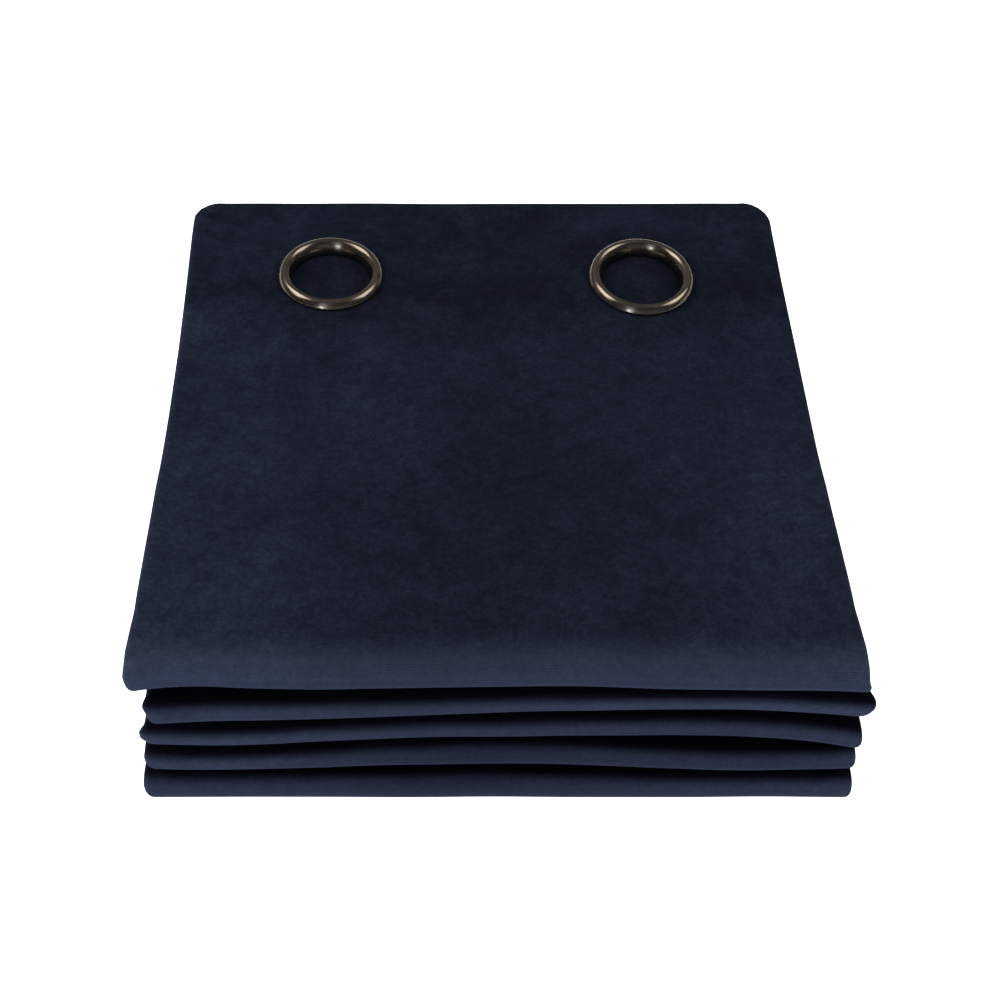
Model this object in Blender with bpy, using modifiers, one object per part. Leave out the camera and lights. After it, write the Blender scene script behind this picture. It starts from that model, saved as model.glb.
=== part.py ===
"""Folded velvet eyelet curtain, a stack of back-and-forth folds.

The cloth is one flat panel. It is first folded across its width into four levels, like a gate
closed from both sides: level 1 lies on top, level 4 underneath, and the two free edges are
tucked in on levels 2 and 3. That strip is then laid back and forth along the drop in ten
passes, so that the front of the stack shows five rounded folds. The heading, the strip that
holds the eyelets, is the start of the first pass, at the top of the back.

Units are metres, +Z is up, the front of the stack faces -Y, and the stack stands on Z = 0.
"""

import math
from typing import NamedTuple

import bmesh
import bpy
from mathutils import Matrix, Vector

# The stack.
WIDTH = 0.316
DEPTH = 0.325
CLOTH = 0.0019
PASSES = 10
LEVEL_PITCH = 0.0025
PASS_PITCH = 0.01034
HEADING_DROP = 0.1155
SEAM_GAP = 0.0003

# Half the rise between the top and the bottom level of one pass.
OUTER_LEVEL = 1.5 * LEVEL_PITCH
INNER_LEVEL = 0.5 * LEVEL_PITCH
BEND_RADIUS = PASS_PITCH / 2
# The outside of a bend, from the axis that the pass turns round.
BEND_REACH = BEND_RADIUS + OUTER_LEVEL + CLOTH / 2
BEND_Y = DEPTH / 2 - BEND_REACH
LOWEST_PASS_Z = OUTER_LEVEL + CLOTH / 2
WRAP_X = -WIDTH / 2 + OUTER_LEVEL + CLOTH / 2
FOLD_X = WIDTH / 2 - INNER_LEVEL - CLOTH / 2
FREE_EDGE_X = WRAP_X + 0.001

# How finely the folds are drawn: steps of each bend, and the one row in the middle of a pass.
FRONT_BEND_STEPS = 6
BACK_BEND_STEPS = 4
WRAP_STEPS = 4
FOLD_STEPS = 3
MIDDLE_ROW_Y = -0.075


class Lump(NamedTuple):
    """One rounded fold of the front, two passes high, in millimetres.

    The ends stick out past half of WIDTH, and the front sticks out at each of FRONT_COLUMNS.
    """

    left_end: float
    right_end: float
    far_left: float
    left: float
    middle: float
    right: float
    far_right: float

    @property
    def fronts(self):
        """How far the front sticks out at each of FRONT_COLUMNS."""
        return (self.far_left, self.left, self.middle, self.right, self.far_right)


FRONT_COLUMNS = (-0.150, -0.075, 0.010, 0.090, 0.150)
LUMPS = (
    Lump(left_end=4.0, right_end=4.6, far_left=-0.6, left=-0.2, middle=-1.8, right=0.0, far_right=0.4),
    Lump(left_end=-2.5, right_end=12.8, far_left=3.3, left=0.8, middle=-2.7, right=-4.3, far_right=-1.0),
    Lump(left_end=2.0, right_end=9.0, far_left=0.2, left=-1.4, middle=-4.3, right=-4.4, far_right=1.2),
    Lump(left_end=2.0, right_end=10.1, far_left=-0.4, left=-0.4, middle=-3.3, right=-0.4, far_right=-1.2),
    Lump(left_end=4.6, right_end=11.8, far_left=0.0, left=0.0, middle=0.0, right=0.0, far_right=0.0),
)
# The lumps start to stick out at the first of these, and do so fully at the second.
LUMPS_FROM_Y = -0.020
LUMPS_FULL_Y = -0.140
# The ends move as one outside the second of these, and the cloth between them not at all.
ENDS_FROM_X = 0.060
ENDS_FULL_X = 0.145

# The back corners are rounded off: drawn in by this much at the back, over this much of the depth.
LEFT_CORNER_INSET = 0.0030
RIGHT_CORNER_INSET = 0.0045
CORNER_DEPTH = 0.017

# The top dips and rises in front of the heading, and the lowest pass stays flat.
TOP_WAVE = 0.0008
WAVE_LENGTH_X = 0.210
WAVE_PHASE = 0.6
WAVE_FROM_Y = 0.050
WAVE_FULL_Y = -0.060


class Eyelet(NamedTuple):
    """One eyelet: its place, how far it lifts its cloth, and its leans to the front and right."""

    name: str
    x: float
    y: float
    lift: float
    lean_front_deg: float
    lean_right_deg: float


EYELETS = (
    Eyelet(name="eyelet_left", x=-0.0812, y=0.0996, lift=0.0026, lean_front_deg=1.5, lean_right_deg=1.9),
    Eyelet(name="eyelet_right", x=0.0828, y=0.0960, lift=0.0037, lean_front_deg=4.5, lean_right_deg=1.5),
)
HOLE_RADIUS = 0.020
RING_RADIUS = 0.028
CROWN_RADIUS = 0.0242
CROWN_HEIGHT = 0.0050
LIP_DROP = 0.0034
BARREL_WALL = 0.0012
WASHER_RADIUS = 0.0268
WASHER_THICKNESS = 0.0012
CLEARANCE = 0.0003
RING_STEPS = 44
CROWN_STEPS = 4

# The cloth round an eyelet is flat out to the first radius, and lies on the stack from the second.
LIFT_FLAT_RADIUS = 0.034
LIFT_END_RADIUS = 0.046

# The heading is drawn finer: its columns from each eyelet's centre, and its rows from the top edge.
EYELET_COLUMNS = (-0.052, -0.041, -0.030, -0.020, -0.010, 0.0, 0.010, 0.020, 0.030, 0.041, 0.052)
HEADING_ROWS = (0.0, 0.008, 0.018, 0.029, 0.040, 0.050, 0.060, 0.070, 0.080, 0.091, 0.102, HEADING_DROP)

# The plug that cuts an eyelet's hole goes this far below and above the middle of the top level. It
# ends short of the level under it.
PLUG_BELOW = 0.0014
PLUG_ABOVE = 0.0040


def smooth(start, end, value):
    """0 up to start, 1 from end, and an even S between them. start may be above end."""
    t = min(1.0, max(0.0, (value - start) / (end - start)))
    return t * t * (3.0 - 2.0 * t)


def half_turn(centre, radius, start_deg, turn_deg, steps):
    """The points of a half turn round centre, without its first and last."""
    points = []
    for step in range(1, steps):
        angle = math.radians(start_deg + turn_deg * step / steps)
        points.append((centre[0] + radius * math.cos(angle), centre[1] + radius * math.sin(angle)))
    return points


def across_stations(columns, top_columns):
    """(x, height above the pass's middle) across the cloth, from one free edge to the other."""
    low = [FREE_EDGE_X, *columns, FOLD_X]
    stations = [(x, INNER_LEVEL) for x in low]
    stations += half_turn((FOLD_X, LEVEL_PITCH), INNER_LEVEL, -90, 180, FOLD_STEPS)
    stations += [(x, OUTER_LEVEL) for x in (FOLD_X, *reversed(top_columns), WRAP_X)]
    stations += half_turn((WRAP_X, 0.0), OUTER_LEVEL, 90, 180, WRAP_STEPS)
    stations += [(x, -OUTER_LEVEL) for x in (WRAP_X, *columns, FOLD_X)]
    stations += half_turn((FOLD_X, -LEVEL_PITCH), INNER_LEVEL, -90, 180, FOLD_STEPS)
    stations += [(x, -INNER_LEVEL) for x in reversed(low)]
    return stations


class Row(NamedTuple):
    """A row of the cloth along its drop: its lump, its place, and the way that level 1 lies."""

    lump: int
    y: float
    z: float
    out_y: float
    out_z: float


def pass_z(number):
    return LOWEST_PASS_Z + (PASSES - 1 - number) * PASS_PITCH


def pass_rows(number, ys):
    """The flat rows of one pass. Level 1 is up on even passes and down on odd ones."""
    return [Row(number // 2, y, pass_z(number), 0.0, 1.0 - 2.0 * (number % 2)) for y in ys]


def bend_rows(number):
    """The rows that turn from one pass down to the next, without their ends."""
    centre = Vector((-BEND_Y if number % 2 == 0 else BEND_Y, pass_z(number) - BEND_RADIUS))
    side, steps = (1, FRONT_BEND_STEPS) if number % 2 == 0 else (-1, BACK_BEND_STEPS)
    rows = []
    for step, (y, z) in enumerate(half_turn(centre, BEND_RADIUS, 90, side * 180, steps)):
        out = (Vector((y, z)) - centre) / BEND_RADIUS * side
        lump = number // 2 if number % 2 == 0 or step < steps // 2 else number // 2 + 1
        rows.append(Row(lump, y, z, out.x, out.y))
    return rows


def curtain_rows():
    """Every row from the seam under the heading to the bottom edge of the cloth."""
    seam_y = DEPTH / 2 - HEADING_DROP - SEAM_GAP
    rows = pass_rows(0, (seam_y, 0.0, MIDDLE_ROW_Y, -BEND_Y))
    for number in range(PASSES - 1):
        rows += bend_rows(number)
        start, end = (-BEND_Y, BEND_Y) if number % 2 == 0 else (BEND_Y, -BEND_Y)
        rows += pass_rows(number + 1, (start, MIDDLE_ROW_Y, end))
    return rows


def column_value(values, x):
    """The value at x of a row of values at FRONT_COLUMNS, eased from column to column."""
    if x <= FRONT_COLUMNS[0]:
        return values[0]
    for i in range(len(FRONT_COLUMNS) - 1):
        if x <= FRONT_COLUMNS[i + 1]:
            ease = smooth(FRONT_COLUMNS[i], FRONT_COLUMNS[i + 1], x)
            return values[i] + (values[i + 1] - values[i]) * ease
    return values[-1]


def unevenness(row, x):
    """How far the cloth of a row lies from its even fold at x: lumps, ends, corners and waves.

    It is the same on all four levels, so that they keep their distance.
    """
    lump = LUMPS[row.lump]
    forward = smooth(LUMPS_FROM_Y, LUMPS_FULL_Y, row.y)
    end = math.copysign(smooth(ENDS_FROM_X, ENDS_FULL_X, abs(x)), x)
    end_reach = (lump.right_end if x > 0.0 else lump.left_end) / 1000.0
    corner = max(0.0, 1.0 - (DEPTH / 2 - row.y) / CORNER_DEPTH) ** 2
    corner *= RIGHT_CORNER_INSET if x > 0.0 else LEFT_CORNER_INSET
    wave = math.sin(2 * math.pi * x / WAVE_LENGTH_X + WAVE_PHASE)
    wave *= smooth(WAVE_FROM_Y, WAVE_FULL_Y, row.y)
    rise = (row.z - LOWEST_PASS_Z) / (PASSES * PASS_PITCH)
    return Vector((
        end * (forward * end_reach - corner),
        -forward * column_value(lump.fronts, x) / 1000.0,
        TOP_WAVE * wave * rise,
    ))


def eyelet_frame(eyelet):
    """The eyelet's centre, in the middle of its cloth's thickness, and its leans."""
    height = pass_z(0) + OUTER_LEVEL + eyelet.lift
    lean = Matrix.Rotation(math.radians(eyelet.lean_front_deg), 4, "X")
    lean @= Matrix.Rotation(math.radians(eyelet.lean_right_deg), 4, "Y")
    return Matrix.Translation((eyelet.x, eyelet.y, height)) @ lean


def eyelet_lift(x, y):
    """How far the eyelets lift the top level of the heading."""
    lift = 0.0
    for eyelet in EYELETS:
        from_x, from_y = x - eyelet.x, y - eyelet.y
        rise = eyelet_frame(eyelet).to_3x3() @ Vector((0.0, 0.0, 1.0))
        plane = eyelet.lift - (rise.x * from_x + rise.y * from_y) / rise.z
        lift += plane * smooth(LIFT_END_RADIUS, LIFT_FLAT_RADIUS, math.hypot(from_x, from_y))
    return lift


def fold(station, row):
    """The place of one point of the flat cloth once it is folded."""
    x, height = station
    point = Vector((x, row.y + row.out_y * height, row.z + row.out_z * height))
    point += unevenness(row, x)
    if row.z == pass_z(0) and height == OUTER_LEVEL:
        point.z += eyelet_lift(point.x, point.y)
    return point


def material(name, colour, roughness, metallic=0.0):
    """A plain Principled surface. The colour is linear."""
    made = bpy.data.materials.new(name)
    made.use_nodes = True
    shader = made.node_tree.nodes["Principled BSDF"]
    shader.inputs["Base Color"].default_value = (*colour, 1.0)
    shader.inputs["Roughness"].default_value = roughness
    shader.inputs["Metallic"].default_value = metallic
    made.diffuse_color = (*colour, 1.0)
    return made


def place(obj, collection, parent):
    collection.objects.link(obj)
    obj.parent = parent
    return obj


def cloth(name, stations, rows, surface):
    """A flat grid with a vertex for each station and row, laid into its folds and thickened."""
    bm = bmesh.new()
    columns, lines = len(stations) - 1, len(rows) - 1
    bmesh.ops.create_grid(bm, x_segments=columns, y_segments=lines, size=0.5)
    for vert in bm.verts:
        station = stations[round((vert.co.x + 0.5) * columns)]
        vert.co = fold(station, rows[round((vert.co.y + 0.5) * lines)])
    mesh = bpy.data.meshes.new(name)
    bm.to_mesh(mesh)
    bm.free()
    mesh.materials.append(surface)
    obj = bpy.data.objects.new(name, mesh)
    thickness = obj.modifiers.new("Thickness", "SOLIDIFY")
    thickness.thickness = CLOTH
    thickness.offset = 0.0
    thickness.use_even_offset = True
    return obj


def turned(name, profile, surface):
    """A closed profile of (radius, height) turned round Z."""
    mesh = bpy.data.meshes.new(name)
    edges = [(i, (i + 1) % len(profile)) for i in range(len(profile))]
    mesh.from_pydata([(radius, 0.0, height) for radius, height in profile], edges, [])
    mesh.materials.append(surface)
    obj = bpy.data.objects.new(name, mesh)
    turn = obj.modifiers.new("Turn", "SCREW")
    turn.steps = RING_STEPS
    turn.render_steps = RING_STEPS
    turn.use_merge_vertices = True
    turn.merge_threshold = 0.00005
    turn.use_smooth_shade = True
    return obj


def ring_profile():
    """A domed crown over the cloth, and a barrel down through it to the back of the washer."""
    seat = CLOTH / 2 + CLEARANCE
    foot = -seat - WASHER_THICKNESS
    outer = HOLE_RADIUS + BARREL_WALL
    points = []
    for step in range(CROWN_STEPS + 1):
        angle = math.pi / 2 * step / CROWN_STEPS
        radius = CROWN_RADIUS + (RING_RADIUS - CROWN_RADIUS) * math.sin(angle)
        points.append((radius, seat + CROWN_HEIGHT * math.cos(angle)))
    points += [(outer, seat), (outer, foot), (HOLE_RADIUS, foot)]
    for step in range(CROWN_STEPS):
        angle = math.pi / 2 * (1 - step / CROWN_STEPS)
        radius = CROWN_RADIUS - (CROWN_RADIUS - HOLE_RADIUS) * math.sin(angle)
        points.append((radius, seat + CROWN_HEIGHT - LIP_DROP * (1 - math.cos(angle))))
    return points


def washer_profile():
    """A flat ring behind the cloth, round the barrel."""
    top = -CLOTH / 2 - CLEARANCE
    inner = HOLE_RADIUS + BARREL_WALL + CLEARANCE
    bottom = top - WASHER_THICKNESS
    return [(WASHER_RADIUS, top), (WASHER_RADIUS, bottom), (inner, bottom), (inner, top)]


def hole_cutter(eyelet):
    """A plug a little wider than the barrel, through the top level only."""
    radius = HOLE_RADIUS + BARREL_WALL + 1.5 * CLEARANCE
    depth = PLUG_BELOW + PLUG_ABOVE
    bm = bmesh.new()
    bmesh.ops.create_cone(
        bm, cap_ends=True, segments=RING_STEPS, radius1=radius, radius2=radius, depth=depth
    )
    bmesh.ops.translate(bm, verts=bm.verts, vec=(0.0, 0.0, PLUG_ABOVE - depth / 2))
    mesh = bpy.data.meshes.new(eyelet.name + "_cutter")
    bm.to_mesh(mesh)
    bm.free()
    cutter = bpy.data.objects.new(eyelet.name + "_cutter", mesh)
    cutter.matrix_local = eyelet_frame(eyelet)
    cutter.hide_render = True
    cutter.display_type = "WIRE"
    return cutter


def heading_columns():
    """Columns of the heading's top level: those round each eyelet, and one between them."""
    return sorted([eyelet.x + step for eyelet in EYELETS for step in EYELET_COLUMNS] + [0.0])


def heading_rows():
    """Rows of the heading from its top edge, at the back, to the seam."""
    return pass_rows(0, [DEPTH / 2 - drop for drop in HEADING_ROWS])


def build():
    for obj in list(bpy.data.objects):
        bpy.data.objects.remove(obj, do_unlink=True)
    parts = bpy.data.collections.new("folded_velvet_eyelet_curtain")
    cutters = bpy.data.collections.new("cutters")
    for collection in (parts, cutters):
        bpy.context.scene.collection.children.link(collection)
    cutters.hide_render = True

    # The lumps reach further right than left, and further forward than the back: this centres them.
    stack = bpy.data.objects.new("stack", None)
    shift_x = max(lump.left_end for lump in LUMPS) - max(lump.right_end for lump in LUMPS)
    shift_y = max(max(lump.fronts) for lump in LUMPS)
    stack.location = (shift_x / 2000.0, shift_y / 2000.0, 0.0)
    place(stack, parts, None)

    velvet = material("navy_velvet", (0.011, 0.014, 0.026), 0.9)
    heading_velvet = material("navy_velvet_heading", (0.011, 0.014, 0.026), 0.9)
    bronze = material("antique_bronze", (0.16, 0.12, 0.085), 0.32, metallic=1.0)
    dull_bronze = material("washer_bronze", (0.12, 0.10, 0.08), 0.45, metallic=1.0)

    columns = FRONT_COLUMNS[1:-1]
    curtain = cloth("curtain", across_stations(columns, columns), curtain_rows(), velvet)
    heading = cloth("heading", across_stations(columns, heading_columns()), heading_rows(), heading_velvet)
    place(curtain, parts, stack)
    place(heading, parts, stack)
    for eyelet in EYELETS:
        for name, profile, surface in (
            (eyelet.name + "_ring", ring_profile(), bronze),
            (eyelet.name + "_washer", washer_profile(), dull_bronze),
        ):
            piece = place(turned(name, profile, surface), parts, stack)
            piece.matrix_local = eyelet_frame(eyelet)
        cutter = place(hole_cutter(eyelet), cutters, stack)
        hole = heading.modifiers.new(eyelet.name, "BOOLEAN")
        hole.operation = "DIFFERENCE"
        hole.object = cutter


build()
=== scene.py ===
"""Looks of the folded velvet eyelet curtain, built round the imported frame.

The cloth is one flat panel with a fine grid on it. Each grid point is laid into its place in the
folded stack by fold(), in the same way as the frame's solids: four levels across the width, ten
passes along the drop. The unevenness of the real stack is added in the stack's own metres.
"""

import math

import bpy
import numpy as np
from mathutils import Matrix, Vector, noise


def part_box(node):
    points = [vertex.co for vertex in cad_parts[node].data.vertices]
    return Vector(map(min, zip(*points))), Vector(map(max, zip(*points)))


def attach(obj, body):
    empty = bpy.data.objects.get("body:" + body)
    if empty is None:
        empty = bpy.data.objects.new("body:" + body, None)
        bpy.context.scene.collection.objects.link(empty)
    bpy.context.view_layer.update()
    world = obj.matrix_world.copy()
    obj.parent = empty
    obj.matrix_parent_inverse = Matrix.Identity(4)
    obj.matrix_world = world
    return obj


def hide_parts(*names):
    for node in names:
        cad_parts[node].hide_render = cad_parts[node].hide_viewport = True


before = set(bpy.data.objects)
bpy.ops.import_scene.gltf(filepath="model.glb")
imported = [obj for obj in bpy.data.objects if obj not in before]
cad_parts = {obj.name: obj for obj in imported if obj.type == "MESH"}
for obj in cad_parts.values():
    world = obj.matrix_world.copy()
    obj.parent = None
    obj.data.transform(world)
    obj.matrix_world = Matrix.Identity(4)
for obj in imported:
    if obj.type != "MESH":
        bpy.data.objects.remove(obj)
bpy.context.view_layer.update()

# The folded stack, as in the frame. A pass is one run along the drop, and a level one of its four
# layers: 1 is the top one, 2 is tucked under it, and 4 and 3 mirror them below. Level 0 is the
# fold that wraps them all at the left.
WIDTH = 0.316
DEPTH = 0.325
PASSES = 10
LEVEL_PITCH = 0.0025
PASS_PITCH = 0.01034
HEADING_DROP = 0.1155
FRAME_CLOTH = 0.0019
OUTER_LEVEL = 1.5 * LEVEL_PITCH
INNER_LEVEL = 0.5 * LEVEL_PITCH
BEND_RADIUS = PASS_PITCH / 2
BEND_Y = DEPTH / 2 - (BEND_RADIUS + OUTER_LEVEL + FRAME_CLOTH / 2)
LOWEST_PASS_Z = OUTER_LEVEL + FRAME_CLOTH / 2
WRAP_X = -WIDTH / 2 + OUTER_LEVEL + FRAME_CLOTH / 2
FOLD_X = WIDTH / 2 - INNER_LEVEL - FRAME_CLOTH / 2
FREE_EDGE_X = WRAP_X + 0.001
# How far the frame's curtain reaches past half of WIDTH and half of DEPTH, left and in front.
LEFTMOST = 0.0046
FRONTMOST = 0.0033

# The cloth of the looks is a touch thinner than the frame's, to leave room between its uneven
# levels, and its heading reaches a little further back. A cut edge keeps EDGE_THICKNESS of it.
CLOTH = 0.0016
HEADING_OVERHANG = 0.0024
EDGE_THICKNESS = 0.2

# How finely the cloth is drawn, in metres between columns or rows and in steps round a bend.
TOP_COLUMN = 0.0036
HOLE_COLUMN = 0.0075
TUCKED_COLUMN = 0.024
UNDER_COLUMN = 0.020
TOP_ROW = 0.0036
HIDDEN_ROW = 0.055
FRONT_BEND_STEPS = 16
BACK_BEND_STEPS = 9
WRAP_STEPS = 9
FOLD_STEPS = 6
# The fine rows in from a cut edge, which the thickness rounds off, and where the even rows start.
HEM_STEPS = (0.0, 0.0003, 0.0008, 0.0018)
EVEN_ROWS_FROM = 0.0045

# Smooth unevenness: noise reaches about 1 with this gain, and each seed reads it this far apart.
NOISE_GAIN = 1.5
SEED_APART = 3.7
MOUND_SEED = 11
SEAM_SEED = 12

# A front fold, or lump, is two passes high. From the top lump down, in millimetres: how far its
# ends reach past half of WIDTH, how far the tip of each end stands out beyond that, and how far
# its front sticks out at each of FRONT_COLUMNS. A tip has its peak at this share of the turn.
FRONT_COLUMNS = (
    -0.158, -0.145, -0.128, -0.105, -0.080, -0.050, -0.020, 0.015, 0.050, 0.085, 0.112, 0.135, 0.158
)
LUMPS = (
    {
        "left": {"reach": 4.0, "tip": 0.5, "peak": 0.40},
        "right": {"reach": 4.7, "tip": 2.6, "peak": 0.80},
        "front": (1.8, -0.8, -2.3, -1.6, -1.0, -1.8, -1.9, -2.0, -1.7, -0.8, -0.4, -0.4, 0.6),
    },
    {
        "left": {"reach": -3.3, "tip": 1.7, "peak": 0.27},
        "right": {"reach": 7.2, "tip": 5.1, "peak": 0.35},
        "front": (4.3, 3.4, 2.2, 1.5, 1.0, -0.2, -1.4, -2.4, -3.4, -3.8, -4.1, -2.6, -0.1),
    },
    {
        "left": {"reach": -0.1, "tip": 3.0, "peak": 0.47},
        "right": {"reach": 8.4, "tip": 0.9, "peak": 0.45},
        "front": (0.3, 0.6, 0.9, 0.1, -1.4, -3.0, -3.9, -3.7, -4.5, -4.8, -4.3, -1.9, 2.7),
    },
    {
        "left": {"reach": 2.4, "tip": 0.6, "peak": 0.45},
        "right": {"reach": 9.5, "tip": 0.8, "peak": 0.45},
        "front": (-0.5, 0.1, 0.0, -0.7, -1.6, -2.9, -3.1, -3.1, -2.3, -0.6, 0.4, -0.3, -1.3),
    },
    {
        "left": {"reach": 5.3, "tip": 0.3, "peak": 0.45},
        "right": {"reach": 11.4, "tip": 0.5, "peak": 0.45},
        "front": (0.0,) * len(FRONT_COLUMNS),
    },
)
# The tips stand out in full on the two outer levels of a bend, and by this share on the innermost.
INNER_TIP_SHARE = 0.4
# How widely a tip spreads, in turns, over and under its peak.
LEFT_TIP_SPREAD = (0.20, 0.14)
RIGHT_TIP_SPREAD = (0.30, 0.26)
# Small unevenness along each lump's front.
WOBBLE = 0.0004
WOBBLE_SIZE = 0.045
# The lumps start to stick out at the first y, and do so fully at the second. Their ends move as
# one outside the second x, and the cloth inside the first x stays where it is.
LUMPS_FROM_Y = -0.020
LUMPS_FULL_Y = -0.140
ENDS_FROM_X = 0.060
ENDS_FULL_X = 0.145

# Towards its front each lump is pressed flatter, by this share of its height, about a level that
# lies this share of its height above its underside. The lowest one keeps its underside.
PRESS_FROM_Y = -0.112
PRESS_FULL_Y = -0.154
PRESSED = (0.16, 0.13, 0.13, 0.13, 0.09)
PRESSED_ABOUT = (0.36, 0.5, 0.5, 0.5, 0.0)
# The power of each lump's front curve: 2 is a half circle, and more is squarer.
SQUARENESS = (2.8, 2.0, 2.0, 2.0, 2.4)
BACK_POWER = 2.0

# How far the sides of the top two passes stand out past the others, in millimetres, from front to
# back, and how far and over what depth the back corners are drawn in.
SIDE_ROWS = (
    {"y": -0.163, "left": 0.3, "right": 0.6},
    {"y": -0.147, "left": 0.9, "right": 1.3},
    {"y": -0.125, "left": -0.7, "right": -0.4},
    {"y": -0.100, "left": -0.3, "right": 0.1},
    {"y": -0.050, "left": 0.8, "right": 1.5},
    {"y": 0.000, "left": 0.1, "right": 1.1},
    {"y": 0.050, "left": 0.0, "right": 0.8},
    {"y": 0.100, "left": 0.7, "right": 0.5},
    {"y": 0.140, "left": 1.5, "right": 0.7},
    {"y": 0.163, "left": 1.6, "right": 1.0},
)
LEFT_CORNER_INSET = 0.0125
LEFT_CORNER_DEPTH = 0.0095
RIGHT_CORNER_INSET = 0.0142
RIGHT_CORNER_DEPTH = 0.0165

# The top dips and rises in front of the heading, and the lowest pass stays flat.
TOP_WAVE = 0.0008
WAVE_LENGTH_X = 0.210
WAVE_PHASE = 0.6
WAVE_FROM_Y = 0.050
WAVE_FULL_Y = -0.060

# Soft mounds and hollows of the top, and the pressed line along the heading's lower edge.
MOUND = 0.00035
MOUND_SIZE = 0.055
CREASE_DEPTH = 0.0004
CREASE_WIDTH = 0.0022
SEAM_WANDER = 0.0015
SEAM_WANDER_SIZE = 0.06

# Painted light and shade round a front bend, as (turns, lightness) pairs, from 1 where the cloth
# lies flat: painted shade darkens the crevice under each lump, and painted light brightens its
# front. On the top lump the turns count from the start of the bend. On the others they count from
# where the painted crevice shade gives way: at each x of the first list below, after this share of
# the turn, from the top lump down. On the lowest lump the painted light stays up to the end of the
# bend, over the pale floor.
SHADE_END_COLUMNS = (-0.112, -0.007, 0.089)
CREVICE_SHADE_ENDS = (
    (0.26, 0.31, 0.34),
    (0.26, 0.31, 0.34),
    (0.32, 0.29, 0.26),
    (0.29, 0.17, 0.22),
    (0.18, 0.12, 0.20),
)
TOP_PAINTED_LIGHT = (
    (0.0, 2.3), (0.1, 2.7), (0.21, 2.6), (0.32, 1.9), (0.44, 1.4), (0.5, 1.15), (0.8, 0.8), (1.0, 0.7)
)
LUMP_PAINTED_SHADE_AND_LIGHT = (
    (-0.07, 0.04), (-0.02, 0.2), (0.04, 1.05), (0.10, 1.6),
    (0.17, 1.5), (0.25, 0.95), (0.34, 0.75), (0.8, 0.6),
)
LOWEST_PAINTED_SHADE_AND_LIGHT = (
    (-0.07, 0.04), (-0.02, 0.2), (0.04, 1.05), (0.10, 1.60),
    (0.17, 1.52), (0.25, 1.15), (0.34, 1.00), (0.8, 1.03),
)
# The front bends begin to count as bends at the first y, and do in full at the second.
BEND_FROM_Y = -0.140
BEND_FULL_Y = -0.157

# The cloth round an eyelet follows its lean out to the first radius, and lies flat from the
# second. HOLE_RADIUS is that of the hole in it.
LIFT_FLAT_RADIUS = 0.029
LIFT_END_RADIUS = 0.066
HOLE_RADIUS = 0.0222
# The level under an eyelet stays this far clear of the washer, and bulges this far into the hole.
WASHER_ROOM = 0.0012
HOLE_BULGE = 0.0008

# An eyelet: its bore, barrel, ring radius and washer as in the frame. CONTACT_GAP is what
# touching pieces keep between them.
BORE_RADIUS = 0.020
BARREL_RADIUS = 0.0212
BARREL_EASE = 0.0002
RING_RADIUS = 0.028
CONTACT_GAP = 0.0003
SEAT = FRAME_CLOTH / 2 + CONTACT_GAP
WASHER_INNER = 0.0215
WASHER_OUTER = 0.0268
WASHER_THICKNESS = 0.0012
WASHER_EASE = 0.0003
# The ring's crown is a dome from its top, at CROWN_RADIUS. It turns by these degrees inwards, down
# the throat to just above the bore, and outwards, to an edge EDGE_HEIGHT above the seat.
CROWN_RADIUS = 0.0243
CROWN_HEIGHT = 0.0040
CROWN_INNER_TURN = 50
CROWN_OUTER_TURN = 30
CROWN_STEPS = 18
THROAT_RADIUS = 0.02035
THROAT_DROP = 0.0052
BORE_EASE = 0.0012
EDGE_HEIGHT = 0.0006
# Steps of the turned pieces round the eyelet, and the angle from which an edge looks sharp.
RING_STEPS = 180
SHARP_ANGLE = 35
# Each eyelet's place, how far it lifts its cloth, and its leans in degrees to the front and right.
EYELETS = (
    {"name": "eyelet_left", "x": -0.0812, "y": 0.0996, "lift": 0.0026, "front": 1.5, "right": 1.9},
    {"name": "eyelet_right", "x": 0.0828, "y": 0.0960, "lift": 0.0037, "front": 4.5, "right": 1.5},
)

# The velvet. A noise is (scale, detail, roughness, distortion), shades are (position, grey) pairs
# that multiply the colour, and colours are linear.
WIDE_PATCHES = (7.0, 2.0, 0.5, 0.0)
RUBBED_PATCHES = (38.0, 8.0, 0.72, 0.4)
WORN_PATCHES = (170.0, 4.0, 0.7, 0.3)
TUFTS = (420.0, 3.0, 0.65, 0.0)
GRAIN = (1100.0, 2.0, 0.6, 0.0)
CRUSHED_PATCHES = (60.0, 5.0, 0.65, 0.5)
RIBS = {"Scale": 314.0, "Distortion": 3.0, "Detail": 3.0, "Detail Scale": 2.0}
NAVY = (
    (0.36, (0.0102, 0.0138, 0.0249)),
    (0.50, (0.0152, 0.0203, 0.0360)),
    (0.64, (0.0218, 0.0288, 0.0503)),
)
WORN_SHADES = ((0.35, 0.78), (0.65, 1.22))
TUFT_SHADES = ((0.3, 0.72), (0.7, 1.28))
GRAIN_SHADES = ((0.3, 0.82), (0.7, 1.18))
CRUSHED_SHADES = ((0.36, 0.72), (0.64, 1.32))
RIB_SHADES = ((0.2, 0.90), (0.8, 1.10))
# Across the stack, from SIDES_X to the same on the right, painted light makes the sides lighter, the left
# most, and the middle a little darker.
SIDES_X = -0.17
SIDE_PAINTED_LIGHT = ((0.0, 1.6), (0.3, 1.2), (0.5, 0.92), (0.7, 0.98), (1.0, 1.35))
# Down the drop, over HEADING_SPAN, the heading is darker, to an edge as ragged as HEADING_RAGGED.
# It alone has crushed patches, which fade over CRUSHED_FADE of that span.
HEADING_SPAN = (0.025, 0.225)
HEADING_RAGGED = 0.05
HEADING_SHADES = ((0.0, 0.62), (0.42, 0.58), (0.58, 1.0), (0.66, 1.04), (0.80, 1.0))
CRUSHED_FADE = (0.6, 0.4)
# Where the cloth is stretched round a front bend, this share of its colour is this even navy.
BEND_NAVY = (0.0165, 0.0215, 0.0375, 1.0)
BEND_NAVY_SHARE = 0.62
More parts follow.
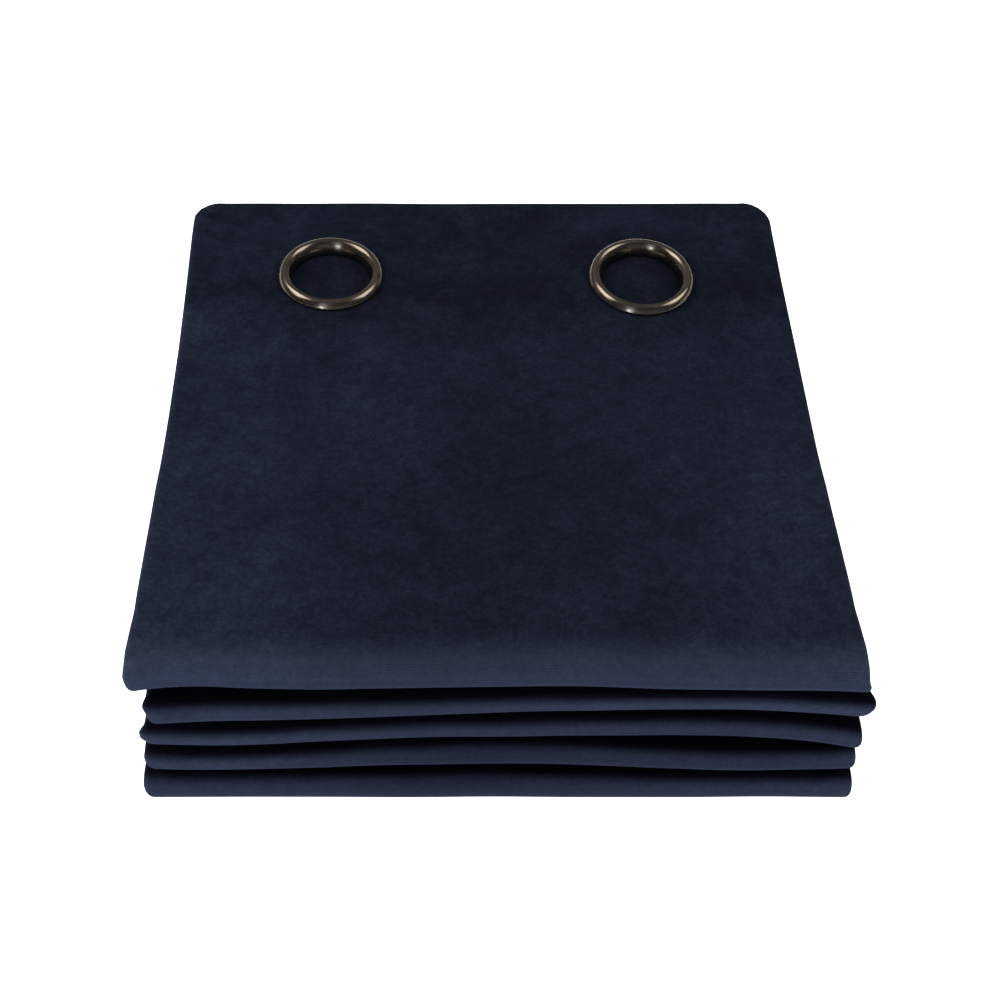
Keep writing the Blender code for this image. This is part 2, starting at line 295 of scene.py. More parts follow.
# The relief of the patches, the ribs and the pile, as (depth in metres, strength).
PATCH_RELIEF = (0.003, 0.25)
RIB_RELIEF = (0.00005, 0.5)
PILE_RELIEF = (0.0004, 0.5)
VELVET_SURFACE = {
    "Roughness": 0.95,
    "Specular IOR Level": 0.0,
    "Sheen Weight": 0.10,
    "Sheen Roughness": 0.6,
    "Sheen Tint": (0.42, 0.52, 1.0, 1.0),
}

# The bronzes, cloudy between their dark and light colours at CLOUD_STOPS. Over POLISH_STOPS of
# the cloud, the roughness changes by POLISH_CHANGE.
RING_BRONZE = {"dark": (0.232, 0.197, 0.157), "light": (0.283, 0.245, 0.198), "roughness": 0.205}
WASHER_BRONZE = {"dark": (0.07, 0.058, 0.045), "light": (0.12, 0.10, 0.08), "roughness": 0.38}
CLOUD = (160.0, 4.0, 0.6, 0.0)
CLOUD_STOPS = (0.35, 0.65)
POLISH_STOPS = (0.3, 0.7)
POLISH_CHANGE = (-0.05, 0.06)
SCUFFS = (1400.0, 3.0, 0.7, 0.0)
SCUFF_RELIEF = (0.00002, 0.15)

# The floor is a light table, for the photo's white ground.
FLOOR_HALF = 10.0
FLOOR_STEPS = 2
FLOOR_TONE = (1.5, 2.0, 0.5, 0.0)
FLOOR_SHADES = ((0.2, 0.90), (0.8, 0.93))
FLOOR_SURFACE = {
    "Roughness": 0.8,
    "Specular IOR Level": 0.2,
    "Emission Color": (1.0, 1.0, 1.0, 1.0),
    "Emission Strength": 1.5,
}

# The studio's walls, by the cosine of a direction's angle to WALLS_AXIS, and their unevenness.
WALLS_AXIS = (0.0, 0.6, 0.8)
WALLS = (
    (0.0, (0.05, 0.05, 0.052)),
    (0.45, (0.11, 0.11, 0.115)),
    (0.8, (0.19, 0.19, 0.20)),
    (1.0, (0.14, 0.14, 0.145)),
)
WALL_PATCHES = (2.2, 2.0, 0.6, 0.0)
WALL_UNEVENNESS = ((0.35, (0.45, 0.42, 0.40)), (0.65, (1.5, 1.45, 1.4)))
# The softboxes: where each stands in metres, its width and height, its radiance and its colour.
# They all face LIT_POINT.
LIT_POINT = (0.0, 0.0, 0.08)
WINDOW_COLOUR = (1.0, 0.96, 0.90)
SOFTBOXES = (
    {
        "name": "left_window", "place": (-1.15, 0.10, 1.25), "size": (1.0, 0.9),
        "radiance": 3.2, "colour": WINDOW_COLOUR,
    },
    {
        "name": "right_window", "place": (1.20, 0.12, 1.20), "size": (1.0, 0.85),
        "radiance": 2.65, "colour": WINDOW_COLOUR,
    },
    {
        "name": "front_fill", "place": (0.15, -1.75, 0.62), "size": (2.4, 0.8),
        "radiance": 0.11, "colour": (0.88, 0.87, 1.0),
    },
    {
        "name": "front_strip", "place": (-0.42, -1.20, 0.85), "size": (0.34, 1.05),
        "radiance": 0.75, "colour": (0.80, 0.88, 1.0),
    },
    {
        "name": "front_lamp", "place": (-0.50, -1.35, 0.44), "size": (0.17, 0.50),
        "radiance": 5.0, "colour": (0.76, 0.87, 1.0),
    },
)

# The camera: its place from the stack's own centre, its pitch in degrees, its lens and sensor in
# millimetres, and its sideways shift.
CAMERA_PLACE = (-0.0271, -0.642, 0.725)
CAMERA_PITCH = 43.02
CAMERA_LENS = 65.16
CAMERA_SENSOR = 36.0
CAMERA_SHIFT = 0.067
CAMERA_CLIP_START = 0.01


def stack_origin():
    """Where the stack's own centre lies in the frame, from the curtain's leftmost and front points."""
    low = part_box("curtain")[0]
    return Vector((low[0] + WIDTH / 2 + LEFTMOST, low[1] + DEPTH / 2 + FRONTMOST, 0.0))


def smooth(start, end, value):
    """0 up to start, 1 from end, and an even S between them. start may be above end."""
    t = np.clip((np.asarray(value, float) - start) / (end - start), 0.0, 1.0)
    return t * t * (3.0 - 2.0 * t)


def uneven(x, y, size, seed):
    """Smooth unevenness from about -1 to 1, in patches size metres across."""
    x, y = np.broadcast_arrays(x, y)
    places = zip(x.ravel() / size, y.ravel() / size)
    values = [noise.noise(Vector((u, v, SEED_APART * seed))) for u, v in places]
    return NOISE_GAIN * np.reshape(values, x.shape)


def by_side(x, left, right):
    """left where x is left of the middle, and right where it is right of it."""
    return np.where(x > 0.0, right, left)


def spread(start, end, spacing):
    """Even steps from start to end, both included, no further apart than spacing."""
    return list(np.linspace(start, end, max(2, math.ceil(abs(end - start) / spacing) + 1)))


def half_turn(centre, radius, start_deg, turn_deg, steps):
    """The points of a half turn round centre, without its first and last."""
    angles = np.radians(start_deg + turn_deg * np.arange(1, steps) / steps)
    return list(zip(centre[0] + radius * np.cos(angles), centre[1] + radius * np.sin(angles)))


def across_stations():
    """(x, height, level) across the cloth, from one free edge to the other."""
    hem = [FREE_EDGE_X + step for step in HEM_STEPS]
    under_the_eyelets = hem + spread(FREE_EDGE_X, FOLD_X, HOLE_COLUMN)[1:]
    tucked = hem + spread(FREE_EDGE_X, FOLD_X, TUCKED_COLUMN)[1:]
    stations = [(x, INNER_LEVEL, 2) for x in under_the_eyelets]
    stations += [(*p, 2) for p in half_turn((FOLD_X, LEVEL_PITCH), INNER_LEVEL, -90, 180, FOLD_STEPS)]
    stations += [(x, OUTER_LEVEL, 1) for x in spread(FOLD_X, WRAP_X, TOP_COLUMN)]
    stations += [(*p, 0) for p in half_turn((WRAP_X, 0.0), OUTER_LEVEL, 90, 180, WRAP_STEPS)]
    stations += [(x, -OUTER_LEVEL, 4) for x in spread(WRAP_X, FOLD_X, UNDER_COLUMN)]
    stations += [(*p, 3) for p in half_turn((FOLD_X, -LEVEL_PITCH), INNER_LEVEL, -90, 180, FOLD_STEPS)]
    stations += [(x, -INNER_LEVEL, 3) for x in reversed(tucked)]
    return np.array(stations)


def pass_z(number):
    return LOWEST_PASS_Z + (PASSES - 1 - number) * PASS_PITCH


def pass_rows(number, start, end):
    """The y of each row of a pass. Only the first one shows, and the first and last have a cut edge."""
    if number == 0:
        edge = DEPTH / 2 + HEADING_OVERHANG
        return [edge - step for step in HEM_STEPS] + spread(edge - EVEN_ROWS_FROM, end, TOP_ROW)
    if number == PASSES - 1:
        return spread(start, end - EVEN_ROWS_FROM, HIDDEN_ROW) + [end - step for step in reversed(HEM_STEPS)]
    return spread(start, end, HIDDEN_ROW)


def drop_rows():
    """(lump, y, z, out_y, out_z, turn) along the drop. turn runs from 0 on a lump to 1 under it."""
    rows = []
    for number in range(PASSES):
        front_going = number % 2 == 0
        start, end = (BEND_Y, -BEND_Y) if front_going else (-BEND_Y, BEND_Y)
        lump, z, out_z = number // 2, pass_z(number), 1.0 if front_going else -1.0
        rows += [(lump, y, z, 0.0, out_z, number % 2) for y in pass_rows(number, start, end)]
        if number == PASSES - 1:
            break
        side, steps = (1.0, FRONT_BEND_STEPS) if front_going else (-1.0, BACK_BEND_STEPS)
        power = SQUARENESS[lump] if front_going else BACK_POWER
        for step, (y, z_bend) in enumerate(half_turn((0.0, 0.0), 1.0, 90, side * 180, steps), 1):
            squared = (abs(y) ** power + abs(z_bend) ** power) ** (-1.0 / power)
            y, z_bend = y * squared, z_bend * squared
            turn = step / steps
            rows.append((
                lump if front_going else lump + (turn > 0.5),
                end + BEND_RADIUS * y,
                z - BEND_RADIUS + BEND_RADIUS * z_bend,
                y * side,
                z_bend * side,
                turn,
            ))
    return np.array(rows)


def first_pass(rows):
    """The slice of the rows that lie on the first pass, before its front bend."""
    return slice(0, np.argmax(rows[:, 2] < pass_z(0)))


def column_values(values, x):
    """The values at x of a row of values at FRONT_COLUMNS, joined by a smooth curve."""
    columns, values = np.array(FRONT_COLUMNS), np.array(values)
    slopes = np.gradient(values, columns)
    i = np.clip(np.searchsorted(columns, x) - 1, 0, len(columns) - 2)
    gap = columns[i + 1] - columns[i]
    t = np.clip((x - columns[i]) / gap, 0.0, 1.0)
    rise, run = t * t * (3 - 2 * t), t * (1 - t)
    bend = run * ((1 - t) * slopes[i] - t * slopes[i + 1]) * gap
    return values[i] * (1 - rise) + values[i + 1] * rise + bend


def lump_front(number, x):
    """How far a lump's front lies in front of the stack's own, at each x."""
    front = column_values(LUMPS[number]["front"], x) / 1000.0
    return front + WOBBLE * uneven(x, 0.0 * x, WOBBLE_SIZE, number + 1)


def end_reach(x, height, lump, turn):
    """How far a lump's ends, with their tips, reach past half of WIDTH."""
    def of_end(key):
        left, right = (np.array([shape[side][key] for shape in LUMPS]) for side in ("left", "right"))
        return by_side(x, left[lump], right[lump])

    past_peak = turn - of_end("peak")
    over, under = (by_side(x, *pair) for pair in zip(LEFT_TIP_SPREAD, RIGHT_TIP_SPREAD))
    fading = past_peak / np.where(past_peak > 0.0, under, over)
    outwards = np.minimum(1.0, 1.0 + (1.0 - INNER_TIP_SHARE) * height / OUTER_LEVEL)
    return (of_end("reach") + of_end("tip") * np.exp(-(fading ** 2)) * outwards) / 1000.0


def side_reach(x, y, z):
    """How far the sides of the top two passes stand out past the others."""
    side_y, left, right = (np.array([row[key] for row in SIDE_ROWS]) for key in ("y", "left", "right"))
    side = by_side(x, np.interp(y, side_y, left), np.interp(y, side_y, right)) / 1000.0
    return side * smooth(pass_z(2), pass_z(1), z)


def corner_inset(x, y):
    """How far the back corners are drawn in, along a quarter of an ellipse."""
    depth = by_side(x, LEFT_CORNER_DEPTH, RIGHT_CORNER_DEPTH)
    to_corner = np.clip(1.0 - (DEPTH / 2 + HEADING_OVERHANG - y) / depth, 0.0, 1.0)
    return (1.0 - np.sqrt(1.0 - to_corner ** 2)) * by_side(x, LEFT_CORNER_INSET, RIGHT_CORNER_INSET)


def eyelet_frame(eyelet):
    """The eyelet's centre, in the middle of its cloth's thickness, and its leans."""
    height = pass_z(0) + OUTER_LEVEL + eyelet["lift"]
    lean = Matrix.Rotation(math.radians(eyelet["front"]), 4, "X")
    lean @= Matrix.Rotation(math.radians(eyelet["right"]), 4, "Y")
    return Matrix.Translation((eyelet["x"], eyelet["y"], height)) @ lean


def eyelet_plane(eyelet, x, y):
    """How high the leaning eyelet lifts its cloth, and the share of that lift left at each place."""
    from_x, from_y = x - eyelet["x"], y - eyelet["y"]
    rise = eyelet_frame(eyelet).to_3x3() @ Vector((0.0, 0.0, 1.0))
    plane = eyelet["lift"] - (rise.x * from_x + rise.y * from_y) / rise.z
    return plane, smooth(LIFT_END_RADIUS, LIFT_FLAT_RADIUS, np.hypot(from_x, from_y))


def tucked_relief(x, y):
    """The tucked level follows each eyelet too, clear of the washer, and bulges into the hole."""
    relief = 0.0 * x * y
    for eyelet in EYELETS:
        plane, near = eyelet_plane(eyelet, x, y)
        away = np.hypot(x - eyelet["x"], y - eyelet["y"])
        relief += np.maximum(plane - WASHER_ROOM, 0.0) * near + HOLE_BULGE * smooth(BORE_RADIUS, 0.0, away)
    return relief


def top_relief(x, y):
    """What the top level of the first pass has of its own: mounds, the heading's edge, the eyelets."""
    relief = MOUND * uneven(x, y, MOUND_SIZE, MOUND_SEED)
    seam_y = DEPTH / 2 - HEADING_DROP + SEAM_WANDER * uneven(x, 0.0 * x, SEAM_WANDER_SIZE, SEAM_SEED)
    relief -= CREASE_DEPTH * np.exp(-(((y - seam_y) / CREASE_WIDTH) ** 2))
    for eyelet in EYELETS:
        plane, near = eyelet_plane(eyelet, x, y)
        relief = relief * (1.0 - near) + plane * near
    return relief


def fold(stations, rows):
    """The place of every grid point of the flat cloth once it is folded: rows by stations by 3."""
    x, height, level = (stations[:, i][None, :] for i in range(3))
    lump, y, z, out_y, out_z, turn = (rows[:, i][:, None] for i in range(6))
    lump = lump.astype(int)
    x = x + 0.0 * y
    z_flat = z + out_z * height

    forward = smooth(LUMPS_FROM_Y, LUMPS_FULL_Y, y)
    end = np.sign(x) * smooth(ENDS_FROM_X, ENDS_FULL_X, np.abs(x))
    sideways = forward * end_reach(x, height, lump, turn) + side_reach(x, y, z) - corner_inset(x, y)
    fronts = np.array([lump_front(number, x[0]) for number in range(len(LUMPS))])[lump[:, 0]]

    wave = np.sin(2 * np.pi * x / WAVE_LENGTH_X + WAVE_PHASE) * smooth(WAVE_FROM_Y, WAVE_FULL_Y, y)
    wave = TOP_WAVE * wave * (z - LOWEST_PASS_Z) / (PASSES * PASS_PITCH)
    underside = pass_z(0) - BEND_RADIUS - (2 * lump + 1) * PASS_PITCH
    still = underside + np.array(PRESSED_ABOUT)[lump] * 2 * PASS_PITCH
    press = np.array(PRESSED)[lump] * smooth(PRESS_FROM_Y, PRESS_FULL_Y, y)

    points = np.stack([
        x + end * sideways,
        y + out_y * height - forward * fronts,
        z_flat + wave - press * (z_flat - still),
    ], axis=-1)
    for wanted, relief in ((1, top_relief), (2, tucked_relief)):
        part = (first_pass(rows), level[0] == wanted)
        points[part + (2,)] += relief(points[part + (0,)], points[part + (1,)])
    return points


def path_lengths(points):
    """How far each point lies along the line through them all."""
    steps = np.linalg.norm(np.diff(points, axis=0), axis=1)
    return np.concatenate([[0.0], np.cumsum(steps)])


def edge_fullness(distance):
    """The share of the full thickness at a distance from a cut edge, so that the edge is round."""
    t = np.clip(1.0 - distance / (CLOTH / 2), 0.0, 1.0)
    return np.sqrt(1.0 - t * t)


def on_front_bend(rows):
    """How far each row lies on a front bend, where the stretched cloth shows its weave evenly."""
    return smooth(BEND_FROM_Y, BEND_FULL_Y, rows[:, 1])


def painted_fold_lightness(stations, rows):
    """Painted light and shade of the front folds at every grid point, rows by stations, 1 where flat."""
    # Painted shade darkens the crevices between the lumps, and painted light brightens their fronts.
    lump, turn = rows[:, 0][:, None], rows[:, 5][:, None]
    on_top = (lump == 0) & (turn < 1.0)
    shade_ends = np.array([np.interp(stations[:, 0], SHADE_END_COLUMNS, row) for row in CREVICE_SHADE_ENDS])
    past_shade = turn - shade_ends[lump[:, 0].astype(int)]
    lightness = np.interp(past_shade, *zip(*LUMP_PAINTED_SHADE_AND_LIGHT))
    lightness = np.where(lump == len(LUMPS) - 1, np.interp(past_shade, *zip(*LOWEST_PAINTED_SHADE_AND_LIGHT)), lightness)
    lightness = np.where(on_top, np.interp(turn, *zip(*TOP_PAINTED_LIGHT)), lightness)
    return 1.0 + (lightness - 1.0) * on_front_bend(rows)[:, None]


def mesh_piece(name, points, quads, surface):
    mesh = bpy.data.meshes.new(name)
    mesh.from_pydata(points.tolist(), [], quads.tolist())
    mesh.polygons.foreach_set("use_smooth", np.ones(len(mesh.polygons), bool))
    mesh.materials.append(surface)
    obj = bpy.data.objects.new(name, mesh)
    bpy.context.scene.collection.objects.link(obj)
    return obj


def grid_quads(shape):
    """The quads of a grid of points, as indices of its four corners."""
    index = np.arange(shape[0] * shape[1]).reshape(shape)
    quads = np.stack([index[:-1, :-1], index[:-1, 1:], index[1:, 1:], index[1:, :-1]], axis=-1)
    return quads.reshape(-1, 4)


def open_holes(points, quads, top):
    """The quads without those in a hole, and the points with its rim drawn onto a circle."""
    for eyelet in EYELETS:
        away = points[:, :2] - (eyelet["x"], eyelet["y"])
        radius = np.hypot(away[:, 0], away[:, 1])
        inside = top & (radius < HOLE_RADIUS)
        cut = inside[quads].any(axis=1)
        rim = np.setdiff1d(quads[cut], np.flatnonzero(inside))
        points[rim, :2] -= away[rim] * (1.0 - HOLE_RADIUS / radius[rim])[:, None]
        quads = quads[~cut]
    return points, quads


def thicken(cloth, from_edge):
    """Gives the sheet its thickness, rounded off at its cut edges."""
    fullness = np.round(edge_fullness(from_edge), 3)
    group = cloth.vertex_groups.new(name="fullness")
    for value in np.unique(fullness):
        group.add(np.flatnonzero(fullness == value).tolist(), float(value), "REPLACE")
    thickness = cloth.modifiers.new("Thickness", "SOLIDIFY")
    thickness.thickness = CLOTH
    thickness.offset = 0.0
    thickness.use_even_offset = True
    thickness.vertex_group = group.name
    thickness.thickness_vertex_group = EDGE_THICKNESS


def build_cloth(origin, surface):
    """The whole curtain, heading and all, as one folded sheet with a hole at each eyelet."""
    stations, rows = across_stations(), drop_rows()
    grid = fold(stations, rows)
    shape = grid.shape[:2]
    top = np.zeros(shape, bool)
    top[first_pass(rows), stations[:, 2] == 1] = True
    points, quads = open_holes(grid.reshape(-1, 3), grid_quads(shape), top.reshape(-1))

    used = np.unique(quads)
    renumber = np.full(len(points), -1)
    renumber[used] = np.arange(len(used))
    obj = mesh_piece("curtain_cloth", points[used] + np.array(origin), renumber[quads], surface)

    across = path_lengths(stations[:, :2])
    along = path_lengths(rows[:, 1:3])
    down_each_column = np.linalg.norm(np.diff(grid, axis=0), axis=2).cumsum(axis=0)
    flat = np.stack([
        np.broadcast_to(across, shape),
        np.concatenate([np.zeros((1, shape[1])), down_each_column]),
    ], axis=-1).reshape(-1, 2)
    weave = obj.data.uv_layers.new(name="weave")
    weave.uv.foreach_set("vector", flat[quads].reshape(-1))
    # Painted light and shade of the front folds, kept on each point for the velvet's colour.
    painted_fold_light = obj.data.attributes.new("painted_fold_light", "FLOAT", "POINT")
    painted_fold_light.data.foreach_set("value", painted_fold_lightness(stations, rows).reshape(-1)[used])
    bend = obj.data.attributes.new("bend", "FLOAT", "POINT")
    bend.data.foreach_set("value", np.repeat(on_front_bend(rows), shape[1])[used])

    to_side = np.minimum(across, across[-1] - across)[None, :]
    to_end = np.minimum(along, along[-1] - along)[:, None]
    thicken(obj, np.minimum(to_side, to_end).reshape(-1)[used])
    return obj, (float(across[-1]), float(along[-1]))


def dome(reach, drop, turn):
    """Steps (outward, down) of a curve that starts level and ends reach further out and drop lower."""
    turn = math.radians(turn)
    angles = turn * np.arange(CROWN_STEPS + 1) / CROWN_STEPS
    outward = reach * np.sin(angles) / math.sin(turn)
    down = drop * (1 - np.cos(angles)) / (1 - math.cos(turn))
    return list(zip(outward.tolist(), down.tolist()))


def ring_profile():
    """(radius, height) round the eyelet: barrel, sloped throat and domed crown."""
    foot = -SEAT - WASHER_THICKNESS
    top = SEAT + CROWN_HEIGHT
    points = [
        (BARREL_RADIUS, SEAT),
        (BARREL_RADIUS, foot + BARREL_EASE),
        (BARREL_RADIUS - BARREL_EASE, foot),
        (BORE_RADIUS + BARREL_EASE, foot),
        (BORE_RADIUS, foot + BARREL_EASE),
        (BORE_RADIUS, top - THROAT_DROP - BORE_EASE),
    ]
    inner = dome(THROAT_RADIUS - CROWN_RADIUS, THROAT_DROP, CROWN_INNER_TURN)
    outer = dome(RING_RADIUS - CROWN_RADIUS, CROWN_HEIGHT - EDGE_HEIGHT, CROWN_OUTER_TURN)
    for outward, down in inner[:0:-1] + outer:
        points.append((CROWN_RADIUS + outward, top - down))
    points.append((RING_RADIUS, SEAT))
    return points


def washer_profile():
    """(radius, height) of the flat ring behind the cloth, with its outer edges eased."""
    top, bottom = -SEAT, -SEAT - WASHER_THICKNESS
    return [
        (WASHER_INNER, top),
        (WASHER_INNER, bottom),
        (WASHER_OUTER - WASHER_EASE, bottom),
        (WASHER_OUTER, bottom + WASHER_EASE),
        (WASHER_OUTER, top - WASHER_EASE),
        (WASHER_OUTER - WASHER_EASE, top),
    ]


def turned(name, profile, placing, surface):
    """A closed profile of (radius, height) turned round the eyelet's own axis."""
    profile = np.array(profile)
    angles = 2 * np.pi * np.arange(RING_STEPS) / RING_STEPS
    points = np.stack([
        profile[None, :, 0] * np.cos(angles)[:, None],
        profile[None, :, 0] * np.sin(angles)[:, None],
        profile[None, :, 1] + 0.0 * angles[:, None],
    ], axis=-1)
    index = np.arange(points.shape[0] * points.shape[1]).reshape(points.shape[:2])
    on, up = np.roll(index, -1, axis=0), np.roll(index, -1, axis=1)
    both = np.roll(on, -1, axis=1)
    quads = np.stack([index, up, both, on], axis=-1).reshape(-1, 4)
    obj = mesh_piece(name, points.reshape(-1, 3), quads, surface)
    obj.data.set_sharp_from_angle(angle=math.radians(SHARP_ANGLE))
    obj.data.transform(placing)
    return obj


def new_material(name):
    made = bpy.data.materials.new(name)
    made.use_nodes = True
    tree = made.node_tree
    shader = tree.nodes["Principled BSDF"]
    return made, tree, shader


def connect(tree, value, socket):
    """Links a socket to an output, or sets it to a value."""
    if isinstance(value, bpy.types.NodeSocket):
        tree.links.new(value, socket)
    else:
        socket.default_value = value


def add(tree, kind, inputs=None, **settings):
    """A node with its settings, and each input linked to a socket or set to a value."""
    node = tree.nodes.new(kind)
    for name, value in settings.items():
        setattr(node, name, value)
    for key, value in (inputs or {}).items():
        connect(tree, value, node.inputs[key])
    return node


def ramp(tree, value, stops):
    """A colour ramp through (position, linear colour) stops."""
    node = add(tree, "ShaderNodeValToRGB", {"Fac": value})
    elements = node.color_ramp.elements
    while len(elements) < len(stops):
        elements.new(0.5)
    for element, (position, colour) in zip(elements, stops):
        element.position = position
        element.color = (*colour, 1.0)
    return node.outputs["Color"]


def grey_ramp(tree, value, shades):
    return ramp(tree, value, [(position, (grey,) * 3) for position, grey in shades])


def mixed(tree, factor, first, second, blend="MIX"):
    """The colour that comes of blending second over first."""
    node = add(tree, "ShaderNodeMix", data_type="RGBA", blend_type=blend, clamp_factor=True)
    # A Mix node has the same socket names for every kind of data, so its colour ones go by number.
    for number, value in ((0, factor), (6, first), (7, second)):
        connect(tree, value, node.inputs[number])
    return node.outputs[2]


def shaded(tree, colour, value, shades):
    """The colour multiplied by the grey that the shades have at a value."""
    return mixed(tree, 1.0, colour, grey_ramp(tree, value, shades), "MULTIPLY")


def noise_of(tree, vector, kind):
    scale, detail, roughness, distortion = kind
    return add(tree, "ShaderNodeTexNoise", {
        "Vector": vector, "Scale": scale, "Detail": detail, "Roughness": roughness,
        "Distortion": distortion,
    }).outputs["Fac"]


def remapped(tree, value, start, end, to_start=0.0, to_end=1.0):
    """to_start where the value is start or before it, to_end from end, and even between them."""
    return add(tree, "ShaderNodeMapRange", {
        "Value": value, "From Min": start, "From Max": end, "To Min": to_start, "To Max": to_end,
    }).outputs["Result"]


def relief_of(tree, height, relief, under=None):
    """A bump of (depth, strength) over the one under it."""
    inputs = {"Height": height, "Distance": relief[0], "Strength": relief[1]}
    if under is not None:
        inputs["Normal"] = under
    return add(tree, "ShaderNodeBump", inputs).outputs["Normal"]


def set_surface(shader, values):
    for name, value in values.items():
        shader.inputs[name].default_value = value


def navy_nap(tree, place, weave, patches, tufts):
    """The navy of the pile: its rubbed patches, worn spots, tufts and grain."""
    colour = ramp(tree, patches, NAVY)
    colour = shaded(tree, colour, noise_of(tree, place, WORN_PATCHES), WORN_SHADES)
    colour = shaded(tree, colour, tufts, TUFT_SHADES)
    return shaded(tree, colour, noise_of(tree, weave, GRAIN), GRAIN_SHADES)


def painted_side_light(tree, colour, place):
    """The colour with painted light, lighter at the sides of the stack."""
    across = add(tree, "ShaderNodeSeparateXYZ", {0: place}).outputs["X"]
    return shaded(tree, colour, remapped(tree, across, SIDES_X, -SIDES_X), SIDE_PAINTED_LIGHT)


def dark_heading(tree, colour, place, weave, rubbed):
    """The colour with a darker, crushed heading, down to a ragged edge along the drop."""
    drop = add(tree, "ShaderNodeSeparateXYZ", {0: weave}).outputs["Y"]
    drop = add(tree, "ShaderNodeMath", {0: rubbed, 1: HEADING_RAGGED, 2: drop}, operation="MULTIPLY_ADD")
    drop = remapped(tree, drop.outputs["Value"], *HEADING_SPAN)
    colour = shaded(tree, colour, drop, HEADING_SHADES)
    crushed = shaded(tree, colour, noise_of(tree, place, CRUSHED_PATCHES), CRUSHED_SHADES)
    return mixed(tree, remapped(tree, drop, *CRUSHED_FADE), colour, crushed)


def even_bends_and_painted_folds(tree, colour, ribs):
    """The colour evened out on the front bends, with the woven ribs, times the painted light and shade of
    the folds.
    """
    bend = add(tree, "ShaderNodeAttribute", attribute_name="bend").outputs["Fac"]
    painted_fold_light = add(tree, "ShaderNodeAttribute", attribute_name="painted_fold_light").outputs["Color"]
    colour = mixed(tree, remapped(tree, bend, 0.0, 1.0, 0.0, BEND_NAVY_SHARE), colour, BEND_NAVY)
    colour = shaded(tree, colour, ribs, RIB_SHADES)
    # Multiplies in the painted light and shade of the front folds.
    return mixed(tree, 1.0, colour, painted_fold_light, "MULTIPLY")


def velvet_material():
    """Dark navy velvet: rubbed patches of pile, a fine woven rib, a sheen at its edges, and painted light
    and shade on the sides and front folds.
    """
    made, tree, shader = new_material("navy_velvet")
    place = add(tree, "ShaderNodeTexCoord").outputs["Object"]
    weave = add(tree, "ShaderNodeUVMap", uv_map="weave").outputs["UV"]
    rubbed = noise_of(tree, place, RUBBED_PATCHES)
    patches = mixed(tree, 0.5, noise_of(tree, place, WIDE_PATCHES), rubbed)
    tufts = noise_of(tree, weave, TUFTS)
    ribs = add(
        tree, "ShaderNodeTexWave", {"Vector": weave, **RIBS}, wave_type="BANDS", bands_direction="Y"
    ).outputs["Fac"]

    colour = navy_nap(tree, place, weave, patches, tufts)
    # Painted light at the sides of the stack.
    colour = painted_side_light(tree, colour, place)
    colour = dark_heading(tree, colour, place, weave, rubbed)
    # Painted light and shade on the front folds.
    colour = even_bends_and_painted_folds(tree, colour, ribs)
    tree.links.new(colour, shader.inputs["Base Color"])

    normal = relief_of(tree, patches, PATCH_RELIEF)
    normal = relief_of(tree, ribs, RIB_RELIEF, normal)
    normal = relief_of(tree, tufts, PILE_RELIEF, normal)
    tree.links.new(normal, shader.inputs["Normal"])
    set_surface(shader, VELVET_SURFACE)
    return made


def bronze_material(name, dark, light, roughness):
    """Antique bronze, a little cloudy and rubbed, with fine scuffs."""
    made, tree, shader = new_material(name)
    place = add(tree, "ShaderNodeTexCoord").outputs["Object"]
    cloud = noise_of(tree, place, CLOUD)
    tree.links.new(ramp(tree, cloud, list(zip(CLOUD_STOPS, (dark, light)))), shader.inputs["Base Color"])
    polish = remapped(tree, cloud, *POLISH_STOPS, *(roughness + change for change in POLISH_CHANGE))
    tree.links.new(polish, shader.inputs["Roughness"])
    scuffs = noise_of(tree, place, SCUFFS)
    tree.links.new(relief_of(tree, scuffs, SCUFF_RELIEF), shader.inputs["Normal"])
    shader.inputs["Metallic"].default_value = 1.0
    return made


def floor_material():
    """A pale, glowing studio floor with a barely visible tone to it."""
    made, tree, shader = new_material("studio_floor")
    place = add(tree, "ShaderNodeTexCoord").outputs["Object"]
    tone = grey_ramp(tree, noise_of(tree, place, FLOOR_TONE), FLOOR_SHADES)
    tree.links.new(tone, shader.inputs["Base Color"])
    set_surface(shader, FLOOR_SURFACE)
    return made


def build_floor():
    line = np.linspace(-FLOOR_HALF, FLOOR_HALF, FLOOR_STEPS + 1)
    points = np.array([(x, y, 0.0) for y in line for x in line])
    return mesh_piece("studio_floor", points, grid_quads((len(line), len(line))), floor_material())


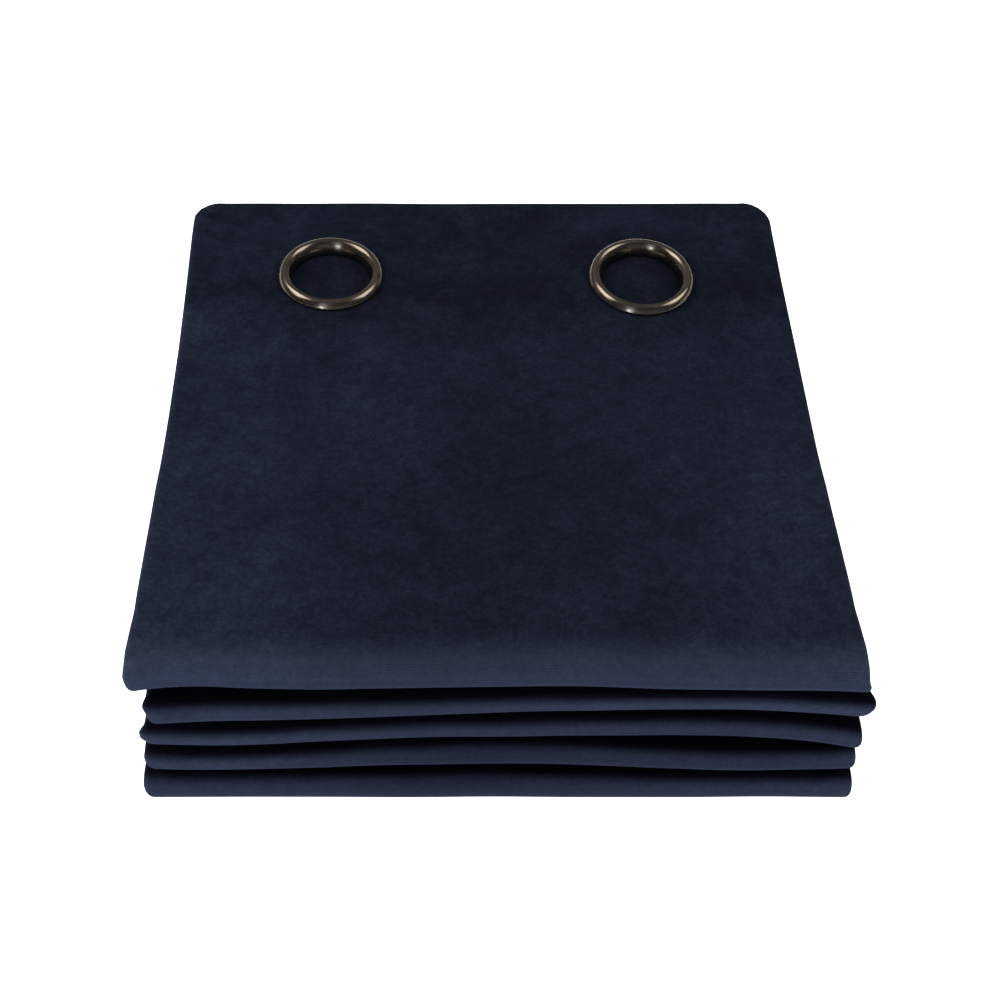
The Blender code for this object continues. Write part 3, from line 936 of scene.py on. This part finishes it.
def add_light(name, place, size, radiance, colour):
    """A softbox, (width, height) in size, at its place and facing LIT_POINT."""
    light = bpy.data.lights.new(name, "AREA")
    light.shape = "RECTANGLE"
    light.size, light.size_y = size
    light.energy = math.pi * size[0] * size[1] * radiance
    light.color = colour
    obj = bpy.data.objects.new(name, light)
    obj.location = place
    obj.rotation_euler = (Vector(LIT_POINT) - Vector(place)).to_track_quat("-Z", "Y").to_euler()
    bpy.context.scene.collection.objects.link(obj)


def studio_world():
    """The dim studio round the stack, which the metal reflects."""
    world = bpy.data.worlds.new("studio")
    world.use_nodes = True
    tree = world.node_tree
    direction = add(tree, "ShaderNodeTexCoord").outputs["Generated"]
    towards = add(tree, "ShaderNodeVectorMath", {0: direction, 1: WALLS_AXIS}, operation="DOT_PRODUCT")
    walls = ramp(tree, towards.outputs["Value"], WALLS)
    unevenness = ramp(tree, noise_of(tree, direction, WALL_PATCHES), WALL_UNEVENNESS)
    colour = mixed(tree, 1.0, walls, unevenness, "MULTIPLY")
    tree.links.new(colour, tree.nodes["Background"].inputs["Color"])
    return world


def add_camera(origin):
    camera = bpy.data.cameras.new("camera")
    camera.lens = CAMERA_LENS
    camera.sensor_width = CAMERA_SENSOR
    camera.shift_x = CAMERA_SHIFT
    camera.clip_start = CAMERA_CLIP_START
    obj = bpy.data.objects.new("camera", camera)
    obj.location = origin + Vector(CAMERA_PLACE)
    obj.rotation_euler = (math.radians(CAMERA_PITCH), 0.0, 0.0)
    bpy.context.scene.collection.objects.link(obj)
    bpy.context.scene.camera = obj


origin = stack_origin()
velvet = velvet_material()
bronze = bronze_material("antique_bronze", **RING_BRONZE)
dull_bronze = bronze_material("washer_bronze", **WASHER_BRONZE)

curtain, flat_size = build_cloth(origin, velvet)
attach(curtain, "root")
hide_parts("curtain", "heading")

floor = build_floor()

halves = {"ring": (ring_profile(), bronze), "washer": (washer_profile(), dull_bronze)}
for eyelet in EYELETS:
    placing = Matrix.Translation(origin) @ eyelet_frame(eyelet)
    for half, (profile, surface) in halves.items():
        piece = turned(eyelet["name"] + "_turned_" + half, profile, placing, surface)
        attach(piece, "root")
        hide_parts(eyelet["name"] + "_" + half)

bpy.context.scene.world = studio_world()
for softbox in SOFTBOXES:
    add_light(**softbox)
add_camera(origin)
bpy.context.scene.view_settings.view_transform = "Standard"
